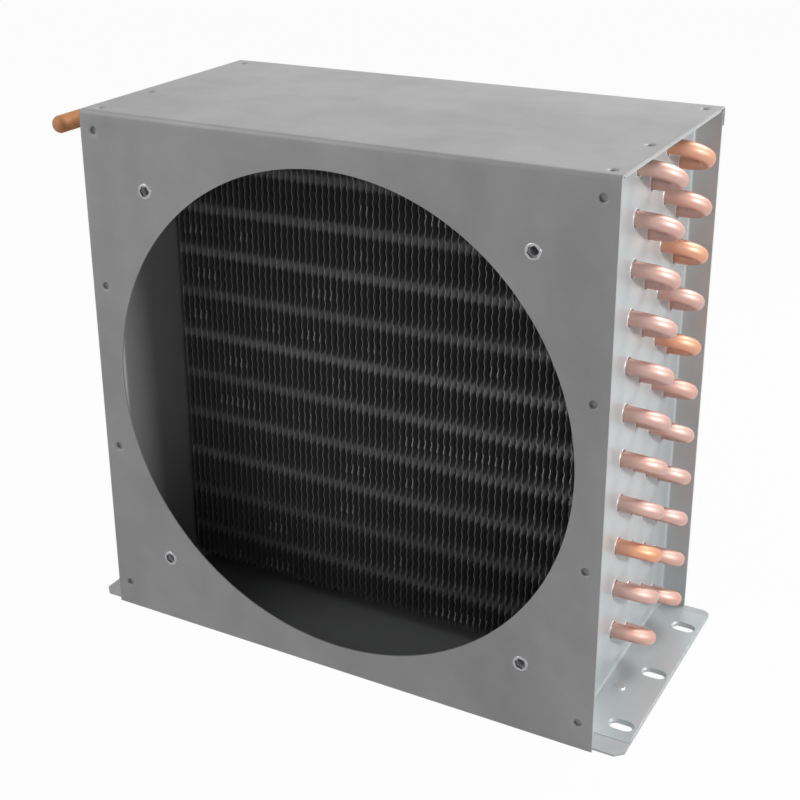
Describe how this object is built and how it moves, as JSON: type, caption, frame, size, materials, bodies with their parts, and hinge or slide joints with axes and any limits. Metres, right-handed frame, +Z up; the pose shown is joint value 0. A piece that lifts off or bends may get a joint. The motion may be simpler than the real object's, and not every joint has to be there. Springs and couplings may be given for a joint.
{
  "type": "refrigeration condenser",
  "caption": "Air-cooled fin-and-tube refrigeration condenser in a folded sheet casing with a round fan opening, copper hairpin bends and slotted mounting feet.",
  "frame": {"origin": "centre of the casing's footprint, on the underside of the base plate", "axes": "+X to the right seen from the fan opening, +Y from the fan opening towards the back of the coil, +Z up"},
  "size_m": [0.3355, 0.1504, 0.292],
  "materials": {
    "shroud_sheet": "matte galvanised",
    "side_sheet": "bright galvanised",
    "base_sheet": "bright galvanised",
    "fins": "dark coated",
    "tube_copper": "dull copper",
    "return_copper": "dull copper",
    "pipe_copper": "dull copper",
    "nut_plating": "zinc plated"
  },
  "bodies": {
    "root": {"shroud": "shroud_sheet", "base_plate": "base_sheet", "side_plate_left": "side_sheet", "side_plate_right": "side_sheet", "fin_pack": "fins", "return_bends_middle": "return_copper", "return_bends_back": "return_copper", "return_bends_front": "return_copper", "inlet_pipe": "pipe_copper", "outlet_pipe": "pipe_copper", "fan_nuts": "nut_plating", "hairpin_front_01": "tube_copper", "hairpin_front_02": "tube_copper", "hairpin_front_03": "tube_copper", "hairpin_front_04": "tube_copper", "hairpin_front_05": "tube_copper", "hairpin_front_06": "tube_copper", "hairpin_front_07": "tube_copper", "hairpin_front_08": "tube_copper", "hairpin_front_09": "tube_copper", "hairpin_front_10": "tube_copper", "hairpin_front_11": "tube_copper", "hairpin_back_01": "tube_copper", "hairpin_back_02": "tube_copper", "hairpin_back_03": "tube_copper", "hairpin_back_04": "tube_copper", "hairpin_back_05": "tube_copper", "hairpin_back_06": "tube_copper", "hairpin_back_07": "tube_copper", "hairpin_back_08": "tube_copper", "hairpin_back_09": "tube_copper", "hairpin_back_10": "tube_copper", "hairpin_back_11": "tube_copper"}
  },
  "joints": []
}
